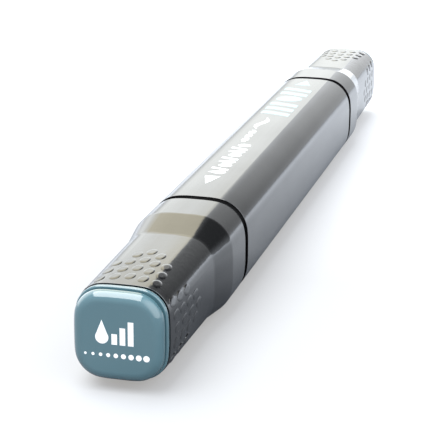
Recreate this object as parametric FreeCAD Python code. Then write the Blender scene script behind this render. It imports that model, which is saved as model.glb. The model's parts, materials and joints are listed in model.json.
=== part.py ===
import FreeCAD, Part
import math
import os

# Twin-tip felt marker with a rounded-square barrel and a pull-off cap at each end.
# Millimetres.  +X runs along the marker from the brush end to the chisel end, +Z is up.
# The origin is on the surface it lies on, under the middle of the barrel.
# Each end is built along +X, with stations measured out from the middle, and the brush end
# is then turned half a turn about Z.

# ---- driving dimensions ----
OVERALL_LENGTH = 153.6
BARREL_WIDTH = 14.5
BARREL_LENGTH = 78.5
RING_WIDTH = 1.55           # black ring that shows between barrel and cap
CAP_BAND_LENGTH = 7.05      # full-width part of the cap
SHOULDER_LENGTH = 6.4       # taper from the band down to the grip
GRIP_WIDTH = 12.7           # across the grip where the shoulder ends
GRIP_END_WIDTH = 12.18      # across the grip at the colour plug
CUSHION_WIDTH = 11.6        # across the front of the colour plug
PLUG_PROUD = 2.9            # how far the colour plug stands out of the cap
NIB_PROUD = 9.3             # how far a nib stands out of its holder

# ---- rounded-square profiles: flat strip, crowned side, round corner ----
STRIP_HALF = 1.0            # half of the flat strip along the middle of each side
CROWN_RADIUS = 16.0
BARREL_CORNER = 4.75
GRIP_CORNER = 3.65

# ---- walls, gaps and small edges ----
BARREL_WALL = 1.2
GRIP_WALL = 1.0
FIT_GAP = 0.05              # between pieces that are pressed together, and in running fits
CAP_SEAT_GAP = 0.05         # between the cap's rim and the ring
RING_RECESS = 0.55          # the ring sits this far below the barrel's surface
PLUG_SEAM = 0.25            # dark gap between the cap's end and the colour plug's lip
LIP_THICKNESS = 0.7
LIP_STEP = 0.08             # the lip sits this far below the cap's surface
LIP_ROUND = 0.25
GROOVE_WIDTH = 0.6          # between the lip and the cushion
GROOVE_DEPTH = 0.3          # below the cushion's side
CUSHION_ROUND = 1.3
RIM_ROUND = 0.06
SHOULDER_TOP_ROUND = 3.0
SHOULDER_FOOT_ROUND = 5.0
SPIGOT_WALL = 1.0           # of the colour plug's hollow spigot
RIB_END_GAP = 1.0           # the barrel's and the cap's ribs start this far inside
BARREL_RIB_WIDTH = 1.0
NECK_RIB_WIDTH = 1.2
NECK_RIB_SETBACK = 0.3      # the cap's ribs stop this far short of the neck's end

# ---- pieces on the marker's axis ----
CORE_RADIUS = 5.3
FILM_THICKNESS = 0.15
HOLDER_PLUG_LENGTH = 8.0    # of a nib holder's part inside the barrel
CORE_SETBACK = 4.0          # the reservoir ends this far inside the barrel
NECK_RADIUS = 5.3
NECK_LENGTH = 10.0          # from the barrel's end
NECK_WALL = 1.0
NECK_FLOOR = 1.5            # solid front of the neck, behind its cone
BEAD_RADIUS = 5.42          # snap bead round the neck
BEAD_PLACE = 6.5            # from the barrel's end
BEAD_TOP_HALF = 0.2
BEAD_FOOT_HALF = 0.6
BEAD_RELIEF_HALF = 0.9      # notch in the cap's ribs over the bead
BEAD_RELIEF_DEPTH = 0.1
NECK_PLAY = 0.15            # between the neck and the cap's ribs
CONE_LENGTH = 1.7
COLLAR_RADIUS = 4.3
COLLAR_LENGTH = 6.0
NOSE_LENGTH = 3.0
BRUSH_NOSE_RADIUS = 2.7
CHISEL_NOSE_RADIUS = 4.15
BORE_TUBE_WALL = 1.0        # tube that holds the brush nib inside the neck
VENT_DEPTH = 0.3            # air grooves along the nib's bore
BRUSH_VENT_WIDTH = 0.5
CHISEL_VENT_WIDTH = 0.6
SEAL_WALL = 0.65
SEAL_LEAD = 0.7             # from the collar's start to the seal's mouth
SEAL_TIP_ROOM = 1.4         # from the nib's tip to the seal's floor
SEAL_FLOOR_THICKNESS = 0.8
MOUTH_FLARE = 0.35          # the seal's mouth is wider by this
MOUTH_FLARE_LENGTH = 0.6
NIB_SOCKET_DEPTH = 4.5      # of a nib's tail in the reservoir
BRUSH_RADIUS = 1.8
BRUSH_TIP_RADIUS = 0.25
BRUSH_STRAIGHT = 2.0        # straight part in front of the holder
BRUSH_BELLY_RADIUS = 0.62 * BRUSH_RADIUS    # half-way along the narrowing part
BRUSH_BELLY_SHIFT = 0.6
CHISEL_WIDTH = 6.0
CHISEL_THICKNESS = 4.0
CHISEL_CORNER = 0.8
CHISEL_STRAIGHT = 3.5
CHISEL_EDGE = 1.2           # thickness of the chisel's writing edge
CHISEL_SLANT = CHISEL_WIDTH / 2             # the edge falls back this far across the nib
CUT_MARGIN = 1.0            # cutting solids reach this far past what they cut

# ---- stations along the marker, measured out from its middle ----
BARREL_END = BARREL_LENGTH / 2
RING_END = BARREL_END + RING_WIDTH
CAP_RIM = RING_END + CAP_SEAT_GAP
BAND_END = CAP_RIM + CAP_BAND_LENGTH
SHOULDER_END = BAND_END + SHOULDER_LENGTH
PLUG_FACE = OVERALL_LENGTH / 2
CAP_END = PLUG_FACE - PLUG_PROUD
HOLDER_TAIL = BARREL_END - HOLDER_PLUG_LENGTH
CORE_END = BARREL_END - CORE_SETBACK
BEAD = BARREL_END + BEAD_PLACE
NECK_END = BARREL_END + NECK_LENGTH
COLLAR_START = NECK_END + CONE_LENGTH
COLLAR_END = COLLAR_START + COLLAR_LENGTH
NOSE_END = COLLAR_END + NOSE_LENGTH
NIB_TAIL = CORE_END - NIB_SOCKET_DEPTH
NIB_TIP = NOSE_END + NIB_PROUD
SEAL_MOUTH = COLLAR_START + SEAL_LEAD
SEAL_FLOOR = NIB_TIP + SEAL_TIP_ROOM
SEAL_END = SEAL_FLOOR + SEAL_FLOOR_THICKNESS

# ---- raised oval dots on the grip, flat on top and sloping softly at the rim ----
DOT_LENGTH = 2.4
DOT_WIDTH = 1.35
DOT_HEIGHT = 0.08
DOT_BRIM = 0.34             # width of the sloping rim
DOT_STEP = 0.012            # upright edge at the foot of the rim
DOT_ROOT = 0.4              # how far a dot is rooted in the wall
DOT_FIRST = 2.9             # from the cap's end to the first dot on the centre line
DOT_PITCH = 3.07
DOT_SIDE_ROWS = [2, 2, 2, 1]    # rows each side of the centre line, column by column
ROW_SPACING = 1.85
ROW_SPACING_LOSS = 0.1      # rows close up a little in each further column
ROW_DROP = 0.5              # each row lies nearer to the cap's end than the centre one
COLUMN_DROP = 0.28          # and more so in each further column

BARREL_HALF = BARREL_WIDTH / 2
GRIP_HALF = GRIP_WIDTH / 2
GRIP_END_HALF = GRIP_END_WIDTH / 2
CUSHION_HALF = CUSHION_WIDTH / 2
AXIS_HEIGHT = BARREL_HALF
X_AXIS = FreeCAD.Vector(1, 0, 0)
Y_AXIS = FreeCAD.Vector(0, 1, 0)
Z_AXIS = FreeCAD.Vector(0, 0, 1)
ORIGIN = FreeCAD.Vector(0, 0, 0)


# ---- profiles ----
def corner_centre(half, corner, crown):
    """Distance of a corner arc's centre from the axis, along both Y and Z."""
    crown_centre = half - crown
    total = STRIP_HALF + crown_centre
    product = STRIP_HALF**2 + crown_centre**2 - (crown - corner) ** 2
    return (total + math.sqrt(total**2 - 2 * product)) / 2


def side_height(across, half, corner, crown=CROWN_RADIUS):
    """Height of a side above the axis, and its slope angle, at a place across the side."""
    centre = corner_centre(half, corner, crown)
    crown_centre = half - crown
    crown_end = STRIP_HALF + (centre - STRIP_HALF) * crown / (crown - corner)
    place = abs(across)
    if place <= STRIP_HALF:
        return half, 0.0
    if place <= crown_end:
        slope = math.asin((place - STRIP_HALF) / crown)
        height = crown_centre + crown * math.cos(slope)
    else:
        slope = math.asin((place - centre) / corner)
        height = centre + corner * math.cos(slope)
    return height, math.copysign(slope, across)


def rounded_square(station, half, corner, inset=0.0):
    """Closed outline across the axis at a station; inset moves it inwards by a wall."""
    half, corner, crown = half - inset, corner - inset, CROWN_RADIUS - inset
    centre = corner_centre(half, corner, crown)
    crown_centre = half - crown
    crown_turn = math.atan2(centre - STRIP_HALF, centre - crown_centre)

    def crown_point(turn):
        across = STRIP_HALF + crown * math.sin(turn)
        return FreeCAD.Vector(station, across, crown_centre + crown * math.cos(turn))

    def flipped(point):
        return FreeCAD.Vector(point.x, point.z, point.y)

    strip_start = FreeCAD.Vector(station, -STRIP_HALF, half)
    crown_start, crown_mid, crown_end = (crown_point(crown_turn * part) for part in (0, 0.5, 1))
    diagonal = centre + corner * math.sqrt(0.5)
    corner_mid = FreeCAD.Vector(station, diagonal, diagonal)
    side = [
        Part.LineSegment(strip_start, crown_start).toShape(),
        Part.Arc(crown_start, crown_mid, crown_end).toShape(),
        Part.Arc(crown_end, corner_mid, flipped(crown_end)).toShape(),
        Part.Arc(flipped(crown_end), flipped(crown_mid), flipped(crown_start)).toShape(),
    ]
    edges = []
    for quarter in range(4):
        for edge in side:
            placed = edge.copy()
            placed.rotate(ORIGIN, X_AXIS, -90 * quarter)
            edges.append(placed)
    return Part.Wire(edges)


def prism(start, end, half, corner, inset=0.0):
    """Straight rounded-square bar between two stations."""
    face = Part.Face(rounded_square(start, half, corner, inset))
    return face.extrude(X_AXIS * (end - start))


def rod(start, end, radius):
    return Part.makeCylinder(radius, end - start, FreeCAD.Vector(start, 0, 0), X_AXIS)


def turned(points):
    """Solid of revolution from (station, radius) points; the first and last are on the axis."""
    outline = [FreeCAD.Vector(station, 0, radius) for station, radius in points]
    face = Part.Face(Part.makePolygon(outline + outline[:1]))
    return face.revolve(ORIGIN, X_AXIS, 360)


def ring_bar(start, end, outer, inner):
    return rod(start, end, outer).cut(rod(start, end, inner))


def chisel_bar(start, end, clearance=0.0):
    """Bar with the chisel nib's rounded-rectangle section."""
    width = CHISEL_WIDTH + 2 * clearance
    thickness = CHISEL_THICKNESS + 2 * clearance
    corner = FreeCAD.Vector(start, -width / 2, -thickness / 2)
    bar = Part.makeBox(end - start, width, thickness, corner)
    long_edges = [edge for edge in bar.Edges if edge.BoundBox.XLength > (end - start) / 2]
    return bar.makeFillet(CHISEL_CORNER + clearance, long_edges)


def edges_at(solid, station, tolerance=1e-3):
    """Edges that lie wholly in the plane across the axis at a station."""
    return [
        edge
        for edge in solid.Edges
        if abs(edge.BoundBox.XMin - station) < tolerance and abs(edge.BoundBox.XMax - station) < tolerance
    ]


def on_four_sides(solid):
    """The solid for the top side, and its copies on the other three."""
    copies = []
    for quarter in range(4):
        copy = solid.copy()
        copy.rotate(ORIGIN, X_AXIS, 90 * quarter)
        copies.append(copy)
    return copies


def inner_rib(start, end, face_height, root_height, width):
    """Rib along the top wall: face_height is the distance of its free face from the axis."""
    low = FreeCAD.Vector(start, -width / 2, face_height)
    return Part.makeBox(end - start, width, root_height - face_height, low)


# ---- barrel group ----
def barrel_shell():
    outside = prism(-BARREL_END, BARREL_END, BARREL_HALF, BARREL_CORNER)
    rims = edges_at(outside, -BARREL_END) + edges_at(outside, BARREL_END)
    outside = outside.makeFillet(RIM_ROUND, rims)
    inside = prism(-BARREL_END, BARREL_END, BARREL_HALF, BARREL_CORNER, BARREL_WALL)
    rib_face = CORE_RADIUS + FILM_THICKNESS + FIT_GAP
    rib_end = HOLDER_TAIL - RIB_END_GAP
    rib = inner_rib(-rib_end, rib_end, rib_face, BARREL_HALF - BARREL_WALL / 2, BARREL_RIB_WIDTH)
    return outside.cut(inside).fuse(on_four_sides(rib)).removeSplitter()


def ink_reservoir():
    core = rod(-CORE_END, CORE_END, CORE_RADIUS)
    brush_socket = rod(-CORE_END, -NIB_TAIL, BRUSH_RADIUS)
    chisel_socket = chisel_bar(NIB_TAIL, CORE_END)
    return core.cut([brush_socket, chisel_socket])


def reservoir_film():
    return ring_bar(-CORE_END, CORE_END, CORE_RADIUS + FILM_THICKNESS, CORE_RADIUS)


def holder_blank(nose_radius):
    """Outside of a nib holder: barrel plug, ring, neck with snap bead, cone, collar and nose."""
    plug = prism(HOLDER_TAIL, BARREL_END, BARREL_HALF, BARREL_CORNER, BARREL_WALL + FIT_GAP)
    ring = prism(BARREL_END, RING_END, BARREL_HALF, BARREL_CORNER, RING_RECESS)
    front = turned(
        [
            (RING_END, 0),
            (RING_END, NECK_RADIUS),
            (BEAD - BEAD_FOOT_HALF, NECK_RADIUS),
            (BEAD - BEAD_TOP_HALF, BEAD_RADIUS),
            (BEAD + BEAD_TOP_HALF, BEAD_RADIUS),
            (BEAD + BEAD_FOOT_HALF, NECK_RADIUS),
            (NECK_END, NECK_RADIUS),
            (COLLAR_START, COLLAR_RADIUS),
            (COLLAR_END, COLLAR_RADIUS),
            (NOSE_END, nose_radius),
            (NOSE_END, 0),
        ]
    )
    return plug.fuse([ring, front])


def holder_relief():
    """Ring-shaped hollow behind the neck, round the tube that holds the brush nib."""
    return ring_bar(CORE_END, NECK_END - NECK_FLOOR, NECK_RADIUS - NECK_WALL, BRUSH_RADIUS + BORE_TUBE_WALL)


def core_pocket():
    return rod(HOLDER_TAIL, CORE_END, CORE_RADIUS + FILM_THICKNESS + FIT_GAP)


def vent_grooves(count, bottom_radius, width):
    """Air grooves along the nib's bore, evenly round it."""
    grooves = []
    for number in range(count):
        low = FreeCAD.Vector(CORE_END, -width / 2, 0)
        groove = Part.makeBox(NOSE_END - CORE_END, width, bottom_radius, low)
        groove.rotate(ORIGIN, X_AXIS, 360 / count * number)
        grooves.append(groove)
    return grooves


def brush_nib_holder():
    blank = holder_blank(BRUSH_NOSE_RADIUS)
    bore = rod(CORE_END, NOSE_END, BRUSH_RADIUS)
    grooves = vent_grooves(3, BRUSH_RADIUS + VENT_DEPTH, BRUSH_VENT_WIDTH)
    return blank.cut([core_pocket(), holder_relief(), bore] + grooves)


def chisel_nib_holder():
    blank = holder_blank(CHISEL_NOSE_RADIUS)
    bore = chisel_bar(CORE_END, NOSE_END)
    grooves = vent_grooves(2, CHISEL_THICKNESS / 2 + VENT_DEPTH, CHISEL_VENT_WIDTH)
    return blank.cut([core_pocket(), bore] + grooves)


def brush_nib():
    """Round rod that narrows through a long curve to a fine rounded point."""
    shoulder = NOSE_END + BRUSH_STRAIGHT
    belly = (shoulder + NIB_TIP) / 2 + BRUSH_BELLY_SHIFT
    slope = math.sqrt(0.5)
    tail = FreeCAD.Vector(NIB_TAIL, 0, 0)
    tail_edge = FreeCAD.Vector(NIB_TAIL, 0, BRUSH_RADIUS)
    narrowing = FreeCAD.Vector(shoulder, 0, BRUSH_RADIUS)
    waist = FreeCAD.Vector(belly, 0, BRUSH_BELLY_RADIUS)
    point_edge = FreeCAD.Vector(NIB_TIP - BRUSH_TIP_RADIUS, 0, BRUSH_TIP_RADIUS)
    point_mid = FreeCAD.Vector(NIB_TIP - BRUSH_TIP_RADIUS * (1 - slope), 0, BRUSH_TIP_RADIUS * slope)
    point = FreeCAD.Vector(NIB_TIP, 0, 0)
    edges = [
        Part.LineSegment(tail, tail_edge).toShape(),
        Part.LineSegment(tail_edge, narrowing).toShape(),
        Part.Arc(narrowing, waist, point_edge).toShape(),
        Part.Arc(point_edge, point_mid, point).toShape(),
        Part.LineSegment(point, tail).toShape(),
    ]
    return Part.Face(Part.Wire(edges)).revolve(ORIGIN, X_AXIS, 360)


def chisel_taper(side):
    """What is cut away above (side 1) or below (side -1) to thin the chisel to its edge."""
    outside = CHISEL_WIDTH / 2 + CUT_MARGIN
    profile = [
        (NOSE_END + CHISEL_STRAIGHT, CHISEL_THICKNESS / 2),
        (NIB_TIP, CHISEL_EDGE / 2),
        (NIB_TIP + CUT_MARGIN, CHISEL_EDGE / 2),
        (NIB_TIP + CUT_MARGIN, CHISEL_THICKNESS),
        (NOSE_END + CHISEL_STRAIGHT, CHISEL_THICKNESS),
    ]
    outline = [FreeCAD.Vector(station, -outside, side * height) for station, height in profile]
    return Part.Face(Part.makePolygon(outline + outline[:1])).extrude(Y_AXIS * (2 * outside))


def chisel_slant():
    """What is cut away in front of the chisel's slanted edge."""
    half = CHISEL_WIDTH / 2
    profile = [
        (NIB_TIP, -half),
        (NIB_TIP + CUT_MARGIN, -half - CUT_MARGIN),
        (NIB_TIP + CUT_MARGIN, half + CUT_MARGIN),
        (NIB_TIP - CHISEL_SLANT, half + CUT_MARGIN),
        (NIB_TIP - CHISEL_SLANT, half),
    ]
    outline = [FreeCAD.Vector(station, across, -CHISEL_THICKNESS) for station, across in profile]
    return Part.Face(Part.makePolygon(outline + outline[:1])).extrude(Z_AXIS * (2 * CHISEL_THICKNESS))


def chisel_nib():
    """Rounded-rectangle bar thinned to an edge from above and below, and cut off at a slant."""
    return chisel_bar(NIB_TAIL, NIB_TIP).cut([chisel_taper(1), chisel_taper(-1), chisel_slant()])


# ---- cap group ----
def cap_blank():
    """Outside of a cap: band, shoulder and tapering grip, with soft edges."""
    outlines = [
        rounded_square(CAP_RIM, BARREL_HALF, BARREL_CORNER),
        rounded_square(BAND_END, BARREL_HALF, BARREL_CORNER),
        rounded_square(SHOULDER_END, GRIP_HALF, GRIP_CORNER),
        rounded_square(CAP_END, GRIP_END_HALF, GRIP_CORNER),
    ]
    blank = Part.makeLoft(outlines, True, True)
    blank = blank.makeFillet(SHOULDER_TOP_ROUND, edges_at(blank, BAND_END))
    blank = blank.makeFillet(SHOULDER_FOOT_ROUND, edges_at(blank, SHOULDER_END))
    rims = edges_at(blank, CAP_RIM) + edges_at(blank, CAP_END)
    return blank.makeFillet(RIM_ROUND, rims)


def cap_cavity():
    """Hollow of a cap, open at the rim and at the colour plug."""
    wide = prism(CAP_RIM - CUT_MARGIN, BAND_END, BARREL_HALF, BARREL_CORNER, BARREL_WALL)
    outlines = [
        rounded_square(BAND_END, BARREL_HALF, BARREL_CORNER, BARREL_WALL),
        rounded_square(SHOULDER_END, GRIP_HALF, GRIP_CORNER, GRIP_WALL),
        rounded_square(CAP_END, GRIP_END_HALF, GRIP_CORNER, GRIP_WALL),
    ]
    return wide.fuse(Part.makeLoft(outlines, True, True))


def grip_half_at(station):
    """Half-width of the tapering grip at a station."""
    part = (station - SHOULDER_END) / (CAP_END - SHOULDER_END)
    return GRIP_HALF + part * (GRIP_END_HALF - GRIP_HALF)


def oval_button():
    """One dot at the origin, standing up along Z: a round button with a soft rim, stretched along X."""
    foot = DOT_WIDTH / 2
    flat = foot - DOT_BRIM
    half_slope = math.atan((DOT_HEIGHT - DOT_STEP) / DOT_BRIM)
    rim_radius = DOT_BRIM / math.sin(2 * half_slope)
    mid_out = flat + rim_radius * math.sin(half_slope)
    mid_up = DOT_HEIGHT - rim_radius * (1 - math.cos(half_slope))

    def at(out, up):
        return FreeCAD.Vector(out, 0, up)

    outline = [
        Part.makeLine(at(0, -DOT_ROOT), at(foot, -DOT_ROOT)),
        Part.makeLine(at(foot, -DOT_ROOT), at(foot, DOT_STEP)),
        Part.Arc(at(foot, DOT_STEP), at(mid_out, mid_up), at(flat, DOT_HEIGHT)).toShape(),
        Part.makeLine(at(flat, DOT_HEIGHT), at(0, DOT_HEIGHT)),
        Part.makeLine(at(0, DOT_HEIGHT), at(0, -DOT_ROOT)),
    ]
    button = Part.Face(Part.Wire(outline)).revolve(ORIGIN, Z_AXIS, 360)
    stretch = FreeCAD.Matrix()
    stretch.scale(DOT_LENGTH / DOT_WIDTH, 1, 1)
    return button.transformGeometry(stretch)


def grip_dots():
    """Bowed columns of dots on one side of the grip."""
    button = oval_button()
    taper = math.degrees(math.atan((GRIP_HALF - GRIP_END_HALF) / (CAP_END - SHOULDER_END)))
    dots = []
    for column, side_rows in enumerate(DOT_SIDE_ROWS):
        for row in range(-side_rows, side_rows + 1):
            drop = abs(row) * ROW_DROP + (column * COLUMN_DROP if row else 0)
            station = CAP_END - (DOT_FIRST + DOT_PITCH * column - drop)
            across = row * (ROW_SPACING - ROW_SPACING_LOSS * column)
            height, slope = side_height(across, grip_half_at(station), GRIP_CORNER)
            dot = button.copy()
            dot.rotate(ORIGIN, Y_AXIS, taper)
            dot.rotate(ORIGIN, X_AXIS, -math.degrees(slope))
            dot.translate(FreeCAD.Vector(station, across, height))
            dots.append(dot)
    return Part.makeCompound(dots)


def neck_rib():
    """Rib inside the band that runs on the holder's neck, relieved over its snap bead."""
    face = NECK_RADIUS + NECK_PLAY
    root = BARREL_HALF - BARREL_WALL / 2
    rib = inner_rib(CAP_RIM + RIB_END_GAP, NECK_END - NECK_RIB_SETBACK, face, root, NECK_RIB_WIDTH)
    return rib.cut(rod(BEAD - BEAD_RELIEF_HALF, BEAD + BEAD_RELIEF_HALF, face + BEAD_RELIEF_DEPTH))


def cap_shell():
    shell = cap_blank().cut(cap_cavity())
    shell = shell.fuse(on_four_sides(neck_rib()))
    dots = [dot for side in on_four_sides(grip_dots()) for dot in side.Solids]
    return shell.fuse(dots)


def cap_seal():
    """Soft inner cap: a tube with a closed end, and a square flange that the colour plug holds."""
    bore = COLLAR_RADIUS + FIT_GAP
    tube = rod(SEAL_MOUTH, SEAL_END, bore + SEAL_WALL)
    flange = prism(SEAL_FLOOR, SEAL_END, GRIP_END_HALF, GRIP_CORNER, GRIP_WALL + FIT_GAP)
    inside = turned(
        [
            (SEAL_MOUTH, 0),
            (SEAL_MOUTH, bore + MOUTH_FLARE),
            (SEAL_MOUTH + MOUTH_FLARE_LENGTH, bore),
            (SEAL_FLOOR, bore),
            (SEAL_FLOOR, 0),
        ]
    )
    return tube.fuse(flange).cut(inside)


def cap_plug():
    """Colour plug: hollow spigot in the cap, lip, groove and a cushion-shaped front."""
    lip_start = CAP_END + PLUG_SEAM
    lip_end = lip_start + LIP_THICKNESS
    cushion_start = lip_end + GROOVE_WIDTH
    spigot = prism(SEAL_END + FIT_GAP, lip_start, GRIP_END_HALF, GRIP_CORNER, GRIP_WALL + FIT_GAP)
    hollow = prism(SEAL_END, lip_start, GRIP_END_HALF, GRIP_CORNER, GRIP_WALL + SPIGOT_WALL)
    lip = prism(lip_start, lip_end, GRIP_END_HALF, GRIP_CORNER, LIP_STEP)
    lip = lip.makeFillet(LIP_ROUND, edges_at(lip, lip_start) + edges_at(lip, lip_end))
    groove = prism(lip_end, cushion_start, CUSHION_HALF, GRIP_CORNER, GROOVE_DEPTH)
    cushion = prism(cushion_start, PLUG_FACE, CUSHION_HALF, GRIP_CORNER)
    cushion = cushion.makeFillet(CUSHION_ROUND, edges_at(cushion, PLUG_FACE))
    return spigot.cut(hollow).fuse([lip, groove, cushion])


# ---- placing and writing ----
def write(node, shape, brush_end=False):
    placed = shape.copy()
    if brush_end:
        placed.rotate(ORIGIN, Z_AXIS, 180)
    placed.translate(Z_AXIS * AXIS_HEIGHT)
    if len(placed.Solids) != 1 or not placed.isValid():
        raise ValueError(node + " is not one valid solid")
    placed.Solids[0].exportStep("parts/" + node + ".step")


def main():
    os.makedirs("parts", exist_ok=True)
    write("barrel_shell", barrel_shell())
    write("ink_reservoir", ink_reservoir())
    write("reservoir_film", reservoir_film())
    write("brush_nib_holder", brush_nib_holder(), brush_end=True)
    write("chisel_nib_holder", chisel_nib_holder())
    write("brush_nib", brush_nib(), brush_end=True)
    write("chisel_nib", chisel_nib())
    cap_pieces = {"cap_shell": cap_shell(), "cap_seal": cap_seal(), "cap_plug": cap_plug()}
    for name, shape in cap_pieces.items():
        write("brush_" + name, shape, brush_end=True)
        write("chisel_" + name, shape)


main()
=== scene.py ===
import json
import math

import bmesh
import bpy
from mathutils import Matrix, Vector
from mathutils.bvhtree import BVHTree


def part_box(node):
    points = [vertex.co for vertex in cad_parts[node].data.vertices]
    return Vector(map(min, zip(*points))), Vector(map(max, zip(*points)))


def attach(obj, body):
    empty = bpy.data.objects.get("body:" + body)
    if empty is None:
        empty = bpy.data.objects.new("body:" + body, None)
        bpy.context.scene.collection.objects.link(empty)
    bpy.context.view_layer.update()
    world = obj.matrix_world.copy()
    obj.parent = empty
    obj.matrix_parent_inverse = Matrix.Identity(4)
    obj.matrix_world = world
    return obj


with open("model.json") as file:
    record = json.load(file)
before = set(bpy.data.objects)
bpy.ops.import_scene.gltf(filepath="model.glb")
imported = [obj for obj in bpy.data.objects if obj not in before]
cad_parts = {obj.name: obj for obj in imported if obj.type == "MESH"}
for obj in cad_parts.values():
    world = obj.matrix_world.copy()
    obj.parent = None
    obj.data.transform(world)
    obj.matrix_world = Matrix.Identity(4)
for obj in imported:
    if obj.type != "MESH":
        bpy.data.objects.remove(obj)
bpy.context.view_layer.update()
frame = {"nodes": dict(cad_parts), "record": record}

# Looks of the twin-tip felt marker.  Metres, in the CAD frame: +X along the marker from the brush
# end to the chisel end, +Z up, origin on the floor under the middle of the barrel.


# ---- sizes read from the frame ----
BARREL_LOW, BARREL_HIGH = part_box("barrel_shell")
PLUG_LOW, PLUG_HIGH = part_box("brush_cap_plug")
AXIS_HEIGHT = (BARREL_LOW.z + BARREL_HIGH.z) / 2
PLUG_FACE = PLUG_LOW.x


# ---- node tools ----
class Nodes:
    """A node tree and short ways to add and join its nodes.  A value is a number or a node's output."""

    def __init__(self, tree):
        self.tree = tree

    def add(self, kind, **settings):
        node = self.tree.nodes.new(kind)
        for key, value in settings.items():
            setattr(node, key, value)
        return node

    def join(self, source, target):
        self.tree.links.new(source, target)

    def feed(self, value, target):
        if isinstance(value, bpy.types.NodeSocket):
            self.join(value, target)
        else:
            target.default_value = value

    def calculate(self, operation, first, second):
        """Arithmetic on two values."""
        node = self.add("ShaderNodeMath", operation=operation)
        self.feed(first, node.inputs[0])
        self.feed(second, node.inputs[1])
        return node.outputs[0]

    def calculate_vector(self, operation, first, second):
        """Arithmetic on two vectors."""
        node = self.add("ShaderNodeVectorMath", operation=operation)
        self.feed(first, node.inputs[0])
        self.feed(second, node.inputs[1])
        return node

    def spread(self, value, low, high, from_low=0.3, from_high=0.7):
        """Value stretched to run from low to high; the usual source is a noise."""
        node = self.add("ShaderNodeMapRange")
        node.inputs["From Min"].default_value = from_low
        node.inputs["From Max"].default_value = from_high
        node.inputs["To Min"].default_value = low
        node.inputs["To Max"].default_value = high
        self.join(value, node.inputs["Value"])
        return node.outputs["Result"]


class Material(Nodes):
    """A material of its own, with noises placed on the object."""

    def __init__(self, name):
        self.material = bpy.data.materials.new(name)
        self.material.use_nodes = True
        super().__init__(self.material.node_tree)
        self.shader = self.tree.nodes["Principled BSDF"]
        self.place = self.add("ShaderNodeTexCoord").outputs["Object"]

    def stretched(self, scale):
        mapping = self.add("ShaderNodeMapping")
        mapping.inputs["Scale"].default_value = scale
        self.join(self.place, mapping.inputs["Vector"])
        return mapping.outputs["Vector"]

    def noise(self, scale, detail=2.0, roughness=0.5, place=None):
        """Noise whose features are about 1/scale metres across."""
        node = self.add("ShaderNodeTexNoise")
        node.inputs["Scale"].default_value = scale
        node.inputs["Detail"].default_value = detail
        node.inputs["Roughness"].default_value = roughness
        self.join(place or self.place, node.inputs["Vector"])
        return node.outputs["Fac"]

    def blend(self, weight, first, second):
        """Colour from the first, at weight 0, to the second, at weight 1."""
        node = self.add("ShaderNodeMix", data_type="RGBA")
        for colour, socket in ((first, node.inputs["A"]), (second, node.inputs["B"])):
            self.feed((*colour, 1) if isinstance(colour, (tuple, list)) else colour, socket)
        self.join(weight, node.inputs["Factor"])
        return node.outputs["Result"]

    def bump(self, height, strength, distance):
        node = self.add("ShaderNodeBump")
        node.inputs["Strength"].default_value = strength
        node.inputs["Distance"].default_value = distance
        self.join(height, node.inputs["Height"])
        self.join(node.outputs["Normal"], self.shader.inputs["Normal"])


# ---- materials ----
# How many features a metre holds, for the noises in the materials.
COLOUR_DRIFT = 90
HANDLING_MARKS = 260
MOULD_SKIN = 3200
FIBRE_STRANDS = 5200
INK_COVER = 1500
INK_GLOSS = 900
INK_PEBBLES = 4000
# How far noise is drawn out along the marker: a scale below 1 makes features longer along X.
MARKS_ALONG = (0.25, 1, 1)
STRANDS_ALONG = (0.06, 1, 1)
# Bump depths in metres.
SKIN_DEPTH = 0.00002
STRAND_DEPTH = 0.00006
THIN_COVER = 0.93           # how much of its colour an ink keeps where it lies thin


def moulded_plastic(name, dark, light, roughness, grain, coat=0.0, metallic=0.0):
    """Glossy moulding: slow colour drift, handling marks in the gloss, and a very fine skin."""
    nodes = Material(name)
    drift = nodes.noise(COLOUR_DRIFT, detail=3)
    nodes.join(nodes.blend(nodes.spread(drift, 0, 1), dark, light), nodes.shader.inputs["Base Color"])
    marks = nodes.noise(HANDLING_MARKS, detail=6, roughness=0.65, place=nodes.stretched(MARKS_ALONG))
    low, high = roughness
    nodes.join(nodes.spread(marks, low, high), nodes.shader.inputs["Roughness"])
    nodes.bump(nodes.noise(MOULD_SKIN), grain, SKIN_DEPTH)
    nodes.shader.inputs["Metallic"].default_value = metallic
    nodes.shader.inputs["Coat Weight"].default_value = coat
    nodes.shader.inputs["Coat Roughness"].default_value = low
    return nodes.material


def grey_plastic():
    """Pewter-coloured moulding with a metallic pigment, dark and mirror-like."""
    dark, light = (0.118, 0.119, 0.120), (0.142, 0.143, 0.145)
    return moulded_plastic("grey_plastic", dark, light, (0.08, 0.16), 0.12, metallic=1.0)


def blue_grey_plastic():
    dark, light = (0.056, 0.124, 0.150), (0.062, 0.134, 0.161)
    return moulded_plastic("blue_grey_plastic", dark, light, (0.08, 0.14), 0.10, coat=1.0)


def black_plastic():
    dark, light = (0.004, 0.004, 0.005), (0.008, 0.008, 0.009)
    return moulded_plastic("black_plastic", dark, light, (0.30, 0.45), 0.2)


def soft_white_plastic():
    dark, light = (0.70, 0.70, 0.68), (0.78, 0.78, 0.76)
    material = moulded_plastic("soft_white_plastic", dark, light, (0.40, 0.55), 0.2)
    shader = material.node_tree.nodes["Principled BSDF"]
    shader.inputs["Subsurface Weight"].default_value = 0.3
    shader.inputs["Subsurface Scale"].default_value = 0.001
    return material


def clear_film():
    dark, light = (0.62, 0.66, 0.66), (0.70, 0.74, 0.74)
    material = moulded_plastic("clear_film", dark, light, (0.10, 0.22), 0.1)
    material.node_tree.nodes["Principled BSDF"].inputs["Transmission Weight"].default_value = 0.5
    return material


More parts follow.
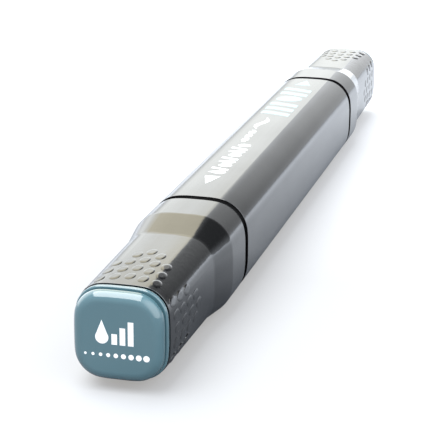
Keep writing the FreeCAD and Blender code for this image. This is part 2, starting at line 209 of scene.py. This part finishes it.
def fibre(name, dark, light):
    """Pressed fibre soaked in ink: strands along the marker, and a dry soft surface."""
    nodes = Material(name)
    strands = nodes.noise(FIBRE_STRANDS, detail=4, roughness=0.7, place=nodes.stretched(STRANDS_ALONG))
    nodes.join(nodes.blend(nodes.spread(strands, 0, 1), dark, light), nodes.shader.inputs["Base Color"])
    nodes.join(nodes.spread(strands, 0.95, 0.75), nodes.shader.inputs["Roughness"])
    nodes.bump(strands, 0.6, STRAND_DEPTH)
    return nodes.material


def ink_layer(name, colour):
    """Printed ink: nearly even, with a faintly pebbled film and slightly uneven cover."""
    nodes = Material(name)
    cover = nodes.spread(nodes.noise(INK_COVER, detail=3), 0, 1)
    thin = [THIN_COVER * part for part in colour]
    nodes.join(nodes.blend(cover, thin, colour), nodes.shader.inputs["Base Color"])
    nodes.join(nodes.spread(nodes.noise(INK_GLOSS), 0.50, 0.65), nodes.shader.inputs["Roughness"])
    nodes.shader.inputs["Specular IOR Level"].default_value = 0.2
    nodes.bump(nodes.noise(INK_PEBBLES), 0.2, SKIN_DEPTH)
    return nodes.material


def dress_cad():
    """Gives every CAD node the material of its slot."""
    slots = {
        "grey_plastic": grey_plastic(),
        "blue_grey_plastic": blue_grey_plastic(),
        "black_plastic": black_plastic(),
        "soft_white_plastic": soft_white_plastic(),
        "clear_film": clear_film(),
        "ink_fibre": fibre("ink_fibre", (0.035, 0.085, 0.105), (0.075, 0.150, 0.180)),
        "nib_felt": fibre("nib_felt", (0.060, 0.125, 0.150), (0.120, 0.210, 0.240)),
    }
    for subpart in frame["record"]["subparts"]:
        node = frame["nodes"][subpart["node"]]
        node.data.materials.clear()
        node.data.materials.append(slots[subpart["material_slot"]])


# ---- outlines of printed marks ----
# Marks are drawn flat, in millimetres: u runs along the print and v across it.
MM = 0.001
LEAN = 0.35                 # how far the slanting bars lean, as a part of their height


def disc(u, v, width, height, turns=28):
    """Ellipse."""
    angles = [2 * math.pi * step / turns for step in range(turns)]
    return [(u + width / 2 * math.cos(angle), v + height / 2 * math.sin(angle)) for angle in angles]


def bar(u, v, width, height, slant=0.0):
    """Upright bar; slant leans its top to one side."""
    lean = slant * height / 2
    low, high = v - height / 2, v + height / 2
    half = width / 2
    foot = [(u - half - lean, low), (u + half - lean, low)]
    head = [(u + half + lean, high), (u - half + lean, high)]
    return foot + head


def wedge(tip, base, v, height):
    """Triangle that points along the print from its base towards its tip."""
    return [(tip, v), (base, v - height / 2), (base, v + height / 2)]


def drop(u, v, width, height, turns=24):
    """Ink drop: round below and pointed above."""
    radius = width / 2
    centre = v - height / 2 + radius
    start, sweep = math.radians(35), math.radians(250)
    angles = [start - sweep * step / turns for step in range(turns + 1)]
    bowl = [(u + radius * math.cos(angle), centre + radius * math.sin(angle)) for angle in angles]
    return bowl + [(u, v + height / 2)]


def swash(start, end, v, rise, stroke, steps=24):
    """Wavy pen stroke that swells in the middle."""
    thin = 0.15             # width at the ends, as a part of the stroke
    upper, lower = [], []
    for step in range(steps + 1):
        part = step / steps
        u = start + part * (end - start)
        middle = v + rise * math.sin(2 * math.pi * part)
        half = stroke / 2 * (thin + math.sin(math.pi * part))
        upper.append((u, middle + half))
        lower.append((u, middle - half))
    return upper + lower[::-1]


def in_row(first, pitch, count):
    """Places of marks that stand in a row."""
    return [first + pitch * number for number in range(count)]


def white_marks():
    """Small marks on the brush half: a wedge, groups of drop, bar and disc, a row of ticks and a wave."""
    line = 0.8              # middle of the marks, off the barrel's own middle
    tall = 2.8
    to_bar, to_disc = 1.9, 3.9      # from a group's drop to its bar and disc
    marks = [wedge(tip=-33.0, base=-28.8, v=line, height=2.4)]
    for group in in_row(-26.6, 6.0, 3):
        marks.append(drop(group, line, width=1.9, height=tall))
        marks.append(bar(group + to_bar, line, width=0.8, height=tall, slant=LEAN))
        marks.append(disc(group + to_disc, line - 0.3, width=1.7, height=2.1))
    for number, tick in enumerate(in_row(-8.2, 0.8, 10)):
        tick_height = 1.2 if number % 3 else 0.7
        marks.append(bar(tick, line + 0.5, width=0.38, height=tick_height))
    marks.append(swash(start=0.2, end=7.9, v=line + 0.4, rise=0.5, stroke=0.9))
    return marks


def pale_marks():
    """Large marks on the chisel half: leaning bars with a disc among them, and a wedge."""
    line = 0.6
    width, tall = 1.9, 5.2
    pitch = 3.3
    marks = [bar(place, line, width, tall, LEAN) for place in in_row(11.4, pitch, 3)]
    marks.append(disc(22.4, line, width=4.0, height=4.6))
    marks += [bar(place, line, width, tall, LEAN) for place in in_row(26.3, pitch, 2)]
    marks.append(wedge(tip=37.6, base=33.4, v=line, height=3.0))
    return marks


def plug_marks():
    """A drop with three rising bars beside it, and a row of growing dots below."""
    foot, tall = -0.8, 3.1
    marks = [drop(-1.85, foot + tall / 2, width=1.7, height=tall)]
    bars = 3
    lowest = 1.6            # height of the first bar, counted in the steps between the bars
    for number, place in enumerate(in_row(-0.25, 1.05, bars)):
        height = tall * (number + lowest) / (bars - 1 + lowest)
        marks.append(bar(place, foot + height / 2, width=0.72, height=height))
    smallest, growth = 0.34, 0.06
    for number, place in enumerate(in_row(-4.0, 0.98, 9)):
        size = smallest + growth * number
        marks.append(disc(place, v=-2.25, width=size, height=size))
    return marks


# ---- printing them on a surface ----
INK = 0.012 * MM            # how far a printed mark stands above its surface, and reaches below it
CROWN_STRIP = 0.35          # width in mm of the strips that let a mark follow the barrel's crown
SAME_POINT = 1e-4           # points of a mark closer than this, in mm, are one
ABOVE = 0.01                # height over the barrel from which its surface is looked for


def filled(name, marks):
    """Flat mesh that fills the outlines, in millimetres."""
    curve = bpy.data.curves.new(name, "CURVE")
    curve.dimensions = "2D"
    curve.fill_mode = "BOTH"
    for outline in marks:
        spline = curve.splines.new("POLY")
        spline.points.add(len(outline) - 1)
        for point, (u, v) in zip(spline.points, outline):
            point.co = (u, v, 0, 1)
        spline.use_cyclic_u = True
    flat = bpy.data.objects.new(name + "_flat", curve)
    bpy.context.scene.collection.objects.link(flat)
    bpy.context.view_layer.update()
    mesh = bpy.data.meshes.new_from_object(flat.evaluated_get(bpy.context.evaluated_depsgraph_get()))
    bpy.data.objects.remove(flat)
    bpy.data.curves.remove(curve)
    mesh.name = name
    return mesh


def cut_into_strips(shape, width):
    """Cuts a flat shape lengthwise, so that it can bend across."""
    low = min(vertex.co.y for vertex in shape.verts)
    high = max(vertex.co.y for vertex in shape.verts)
    for cut in range(1, int((high - low) / width) + 1):
        everything = shape.verts[:] + shape.edges[:] + shape.faces[:]
        line = (0, low + cut * width, 0)
        bmesh.ops.bisect_plane(shape, geom=everything, plane_co=line, plane_no=(0, 1, 0))


def lay_ink(shape, place):
    """Gives a flat shape its thickness and lays it on a surface."""
    top = bmesh.ops.extrude_face_region(shape, geom=shape.faces[:])
    raised = {part for part in top["geom"] if isinstance(part, bmesh.types.BMVert)}
    for vertex in shape.verts:
        lift = INK if vertex in raised else -INK
        vertex.co = place(vertex.co.x * MM, vertex.co.y * MM, lift)
    bmesh.ops.recalc_face_normals(shape, faces=shape.faces[:])


def printed(name, marks, place, body, material, strip=None):
    """Thin ink layer in the shape of the marks; place puts a flat point on the surface."""
    mesh = filled(name, marks)
    shape = bmesh.new()
    shape.from_mesh(mesh)
    bmesh.ops.remove_doubles(shape, verts=shape.verts, dist=SAME_POINT)
    if strip:
        cut_into_strips(shape, strip)
    lay_ink(shape, place)
    shape.to_mesh(mesh)
    shape.free()
    piece = bpy.data.objects.new(name, mesh)
    bpy.context.scene.collection.objects.link(piece)
    mesh.materials.clear()
    mesh.materials.append(material)
    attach(piece, body)


def surface_of(node):
    shape = bmesh.new()
    shape.from_mesh(frame["nodes"][node].data)
    tree = BVHTree.FromBMesh(shape)
    shape.free()
    return tree


def barrel_prints():
    """White and pale marks along the barrel's upper face, which is crowned."""
    barrel = surface_of("barrel_shell")

    def place(x, y, lift):
        hit = barrel.ray_cast(Vector((x, y, BARREL_HIGH.z + ABOVE)), Vector((0, 0, -1)))
        return hit[0] + hit[1] * lift

    white_ink = ink_layer("white_ink", (0.62, 0.65, 0.66))
    printed("barrel_print_white", white_marks(), place, "barrel", white_ink, CROWN_STRIP)
    pale_ink = ink_layer("pale_ink", (0.34, 0.44, 0.46))
    printed("barrel_print_pale", pale_marks(), place, "barrel", pale_ink, CROWN_STRIP)


def plug_prints():
    """White marks on the front of each colour plug."""
    plug_ink = ink_layer("plug_ink", (0.86, 0.87, 0.88))
    for end, body in ((-1, "brush_cap"), (1, "chisel_cap")):

        def place(u, v, lift, end=end):
            return Vector((end * (-PLUG_FACE + lift), end * u, AXIS_HEIGHT + v))

        printed(body + "_print", plug_marks(), place, body, plug_ink)


# ---- studio floor ----
FLOOR_SIZE = 6.0
# Painted light: the floor's tone is darker beside the brush end and lighter past the chisel end, standing in
# for light that grows stronger far off.
FLOOR_NEAR = (0.238, 0.251, 0.272)      # tone beside the marker's brush end
FLOOR_FAR = (0.57, 0.60, 0.65)          # tone past its chisel end
FLOOR_CHANGE = (-0.03, 0.15)            # where along X the tone changes
SHADOW_POOL = (0.110, 0.118, 0.132)            # painted shadow beside the brush cap, which only reflections see
SHADOW_POOL_PLACE = (-0.056, -0.013, 0)
SHADOW_POOL_FADE = (0.013, 0.037)              # distances from there over which the pool fades out
FLOOR_GLOW_TONE = (0.345, 0.333, 0.318)      # painted light: an emission on the floor that only the camera sees, lifting the shadow
FLOOR_GLOW_DEEP = 3.2                   # how much stronger the painted light is far from the marker
FLOOR_GLOW_CHANGE = (0.25, 1.0)         # distances over which it gets stronger


def with_shadow_pool(nodes, tone, camera_ray):
    """The floor's tone for the camera; for reflections a painted shadow makes it darker in the pool."""
    away = nodes.calculate_vector("DISTANCE", nodes.place, SHADOW_POOL_PLACE).outputs["Value"]
    clear = nodes.calculate("MAXIMUM", nodes.spread(away, 0, 1, *SHADOW_POOL_FADE), camera_ray)
    return nodes.blend(clear, SHADOW_POOL, tone)


def with_painted_glow(nodes, camera_ray):
    """The floor's shader with painted light added as an emission, for the camera only."""
    far_off = nodes.add("ShaderNodeVectorMath", operation="LENGTH")
    nodes.join(nodes.place, far_off.inputs[0])
    deepening = nodes.spread(far_off.outputs["Value"], 1, FLOOR_GLOW_DEEP, *FLOOR_GLOW_CHANGE)
    glow_emission = nodes.add("ShaderNodeEmission")
    glow_emission.inputs["Color"].default_value = (*FLOOR_GLOW_TONE, 1)
    nodes.join(nodes.calculate("MULTIPLY", camera_ray, deepening), glow_emission.inputs["Strength"])
    both = nodes.add("ShaderNodeAddShader")
    nodes.join(nodes.shader.outputs[0], both.inputs[0])
    nodes.join(glow_emission.outputs[0], both.inputs[1])
    return both.outputs[0]


def floor():
    """Pale floor with painted light: its tone is lighter further off, and the camera sees an added glow on
    it that lifts the shadow.
    """
    bpy.ops.mesh.primitive_plane_add(size=FLOOR_SIZE, location=(0, 0, 0))
    plane = bpy.context.object
    plane.name = "floor"
    nodes = Material("floor_white")
    camera_ray = nodes.add("ShaderNodeLightPath").outputs["Is Camera Ray"]
    split = nodes.add("ShaderNodeSeparateXYZ")
    nodes.join(nodes.place, split.inputs[0])
    along = nodes.spread(split.outputs["X"], 0, 1, *FLOOR_CHANGE)
    tone = with_shadow_pool(nodes, nodes.blend(along, FLOOR_NEAR, FLOOR_FAR), camera_ray)
    nodes.join(tone, nodes.shader.inputs["Base Color"])
    nodes.shader.inputs["Roughness"].default_value = 0.9
    nodes.shader.inputs["Specular IOR Level"].default_value = 0.1
    nodes.join(with_painted_glow(nodes, camera_ray), nodes.tree.nodes["Material Output"].inputs["Surface"])
    plane.data.materials.append(nodes.material)


# ---- studio light ----
# A light is its radiance and colour.  A place is a direction from the marker, and a core and a reach are
# the angles round it, in degrees, where a patch is full and where it has faded.
#
# The room is even and pale, with a softbox overhead.  Past the chisel end is a bright wall that ends at an
# upright edge: cooler below and warmer above.  To the right of that edge, seen from the brush end, is a dark
# corner with a low glow at the floor.  A dimmer patch carries the wall on to the left, and a fill lights the
# brush end from behind the camera.
ROOM = (0.96, (0.91, 0.965, 1.04))
WALL = (0.85, 0.17, 0.50)
WALL_CORE = 26
WALL_REACH = 36
WALL_EDGE_NORMAL = (-0.134, 0.990, 0.045)
WALL_EDGE_BLUR = 0.015
WALL_LIGHT = (2.42, (0.975, 1.0, 0.985))
WALL_HIGH_LIGHT = (2.35, (1.0, 0.94, 0.75))
WALL_HIGH_CHANGE = (0.29, 0.50)         # sines of the heights over which the wall turns warm
WALL_FOOT_CHANGE = (-0.12, 0.24)        # and over which its light comes up from the floor
WALL_SIDE = (0.45, 0.80, 0.35)
WALL_SIDE_CORE = 16
WALL_SIDE_REACH = 46
WALL_SIDE_LIGHT = (1.5, (1.0, 0.99, 0.97))
SHADE = (0.84, -0.33, 0.43)
SHADE_CORE = 16
SHADE_REACH = 36
SHADE_DEPTH = 0.88
GLOW = (1.0, 0.0, 0.09)
GLOW_ANGLE = 16
GLOW_LIGHT = (2.2, (0.97, 0.99, 1.0))
FILL = (-0.35, -0.80, 0.50)
FILL_CORE = 15
FILL_REACH = 55
FILL_LIGHT = (2.0, (0.97, 0.99, 1.0))
SOFTBOX_HEIGHT = 1.0
SOFTBOX_X = (-1.0, 0.5)
SOFTBOX_Y = (-0.12, 0.80)
SOFTBOX_RADIANCE = 5.8
SOFTBOX_COLOUR = (1.0, 0.99, 0.965)


def softbox():
    """Wide soft light overhead; its edge shows in the glossy rounding of the colour plug."""
    (x_low, x_high), (y_low, y_high) = SOFTBOX_X, SOFTBOX_Y
    data = bpy.data.lights.new("softbox", "AREA")
    data.shape = "RECTANGLE"
    data.size = x_high - x_low
    data.size_y = y_high - y_low
    data.energy = SOFTBOX_RADIANCE * math.pi * data.size * data.size_y
    data.color = SOFTBOX_COLOUR
    lamp = bpy.data.objects.new("softbox", data)
    lamp.location = ((x_low + x_high) / 2, (y_low + y_high) / 2, SOFTBOX_HEIGHT)
    lamp.visible_camera = False
    bpy.context.scene.collection.objects.link(lamp)


class Room(Nodes):
    """Nodes that work out the light that comes from a direction."""

    def __init__(self, tree):
        super().__init__(tree)
        self.direction = self.add("ShaderNodeTexCoord").outputs["Generated"]

    def towards(self, target):
        """Cosine of the angle between the direction and a target."""
        unit = Vector(target).normalized()
        return self.calculate_vector("DOT_PRODUCT", self.direction, unit).outputs["Value"]

    def ramp(self, value, start, end):
        """0 at the start and 1 at the end, with soft turns."""
        node = self.add("ShaderNodeMapRange", interpolation_type="SMOOTHSTEP")
        node.inputs["From Min"].default_value = start
        node.inputs["From Max"].default_value = end
        self.join(value, node.inputs["Value"])
        return node.outputs["Result"]

    def within(self, target, core, reach):
        """1 inside the core angle round a target, 0 outside the reach angle."""
        return self.ramp(self.towards(target), math.cos(math.radians(reach)), math.cos(math.radians(core)))

    def fade(self, target, angle):
        """1 towards the target, about a third at the angle, and soon nothing."""
        facing = self.calculate("MAXIMUM", self.towards(target), 0)
        return self.calculate("POWER", facing, 1 / (1 - math.cos(math.radians(angle))))

    def times(self, first, second):
        return self.calculate("MULTIPLY", first, second)

    def rest_of(self, value):
        return self.calculate("SUBTRACT", 1, value)

    def lit(self, weight, light):
        radiance, colour = light
        node = self.add("ShaderNodeVectorMath", operation="SCALE")
        node.inputs[0].default_value = [radiance * part for part in colour]
        self.join(weight, node.inputs["Scale"])
        return node.outputs["Vector"]

    def plus(self, first, second):
        return self.calculate_vector("ADD", first, second).outputs["Vector"]


def room_light(room):
    """The light of the whole room, as laid out above."""
    up = room.towards((0, 0, 1))
    right_of_edge = room.ramp(room.towards(WALL_EDGE_NORMAL), WALL_EDGE_BLUR, -WALL_EDGE_BLUR)
    wall = room.times(room.within(WALL, WALL_CORE, WALL_REACH), room.rest_of(right_of_edge))
    high = room.ramp(up, *WALL_HIGH_CHANGE)
    lit_wall = room.times(wall, room.ramp(up, *WALL_FOOT_CHANGE))
    side = room.times(room.within(WALL_SIDE, WALL_SIDE_CORE, WALL_SIDE_REACH), room.rest_of(wall))
    shade = room.times(room.within(SHADE, SHADE_CORE, SHADE_REACH), right_of_edge)
    open_room = room.times(room.rest_of(wall), room.rest_of(room.times(shade, SHADE_DEPTH)))
    patches = [
        (room.times(lit_wall, room.rest_of(high)), WALL_LIGHT),
        (room.times(lit_wall, high), WALL_HIGH_LIGHT),
        (side, WALL_SIDE_LIGHT),
        (open_room, ROOM),
        (room.within(FILL, FILL_CORE, FILL_REACH), FILL_LIGHT),
        (room.times(right_of_edge, room.fade(GLOW, GLOW_ANGLE)), GLOW_LIGHT),
    ]
    total = room.lit(*patches[0])
    for patch in patches[1:]:
        total = room.plus(total, room.lit(*patch))
    return total


def sky():
    """Plain studio surroundings.  The camera itself sees them as plain white."""
    world = bpy.data.worlds.new("studio")
    bpy.context.scene.world = world
    world.use_nodes = True
    world.node_tree.nodes.clear()
    room = Room(world.node_tree)
    light = room.add("ShaderNodeBackground")
    room.join(room_light(room), light.inputs["Color"])
    plain = room.add("ShaderNodeBackground")
    plain.inputs["Color"].default_value = (1, 1, 1, 1)
    choose = room.add("ShaderNodeMixShader")
    room.join(room.add("ShaderNodeLightPath").outputs["Is Camera Ray"], choose.inputs["Fac"])
    room.join(light.outputs[0], choose.inputs[1])
    room.join(plain.outputs[0], choose.inputs[2])
    output = room.add("ShaderNodeOutputWorld")
    room.join(choose.outputs[0], output.inputs["Surface"])


# ---- camera ----
CAMERA_PLACE = Vector((-0.2504, -0.0586, 0.0807))
CAMERA_YAW = math.radians(14.58)        # to the left of +X
CAMERA_PITCH = math.radians(17.80)      # downwards
CAMERA_ROLL = math.radians(0.42)
CAMERA_LENS = 129.8
CAMERA_SENSOR = 36.0
CAMERA_NEAR = 0.005


def camera():
    level = math.cos(CAMERA_PITCH)
    ahead = (math.cos(CAMERA_YAW) * level, math.sin(CAMERA_YAW) * level, -math.sin(CAMERA_PITCH))
    forward = Vector(ahead)
    level_right = forward.cross(Vector((0, 0, 1))).normalized()
    level_up = level_right.cross(forward)
    right = math.cos(CAMERA_ROLL) * level_right + math.sin(CAMERA_ROLL) * level_up
    up = right.cross(forward)
    data = bpy.data.cameras.new("camera")
    data.lens = CAMERA_LENS
    data.sensor_width = CAMERA_SENSOR
    data.clip_start = CAMERA_NEAR
    eye = bpy.data.objects.new("camera", data)
    bpy.context.scene.collection.objects.link(eye)
    turn = Matrix((right, up, -forward)).transposed().to_4x4()
    eye.matrix_world = Matrix.Translation(CAMERA_PLACE) @ turn
    bpy.context.scene.camera = eye


def main():
    bpy.context.scene.view_settings.view_transform = "Standard"
    dress_cad()
    barrel_prints()
    plug_prints()
    floor()
    sky()
    softbox()
    camera()


main()
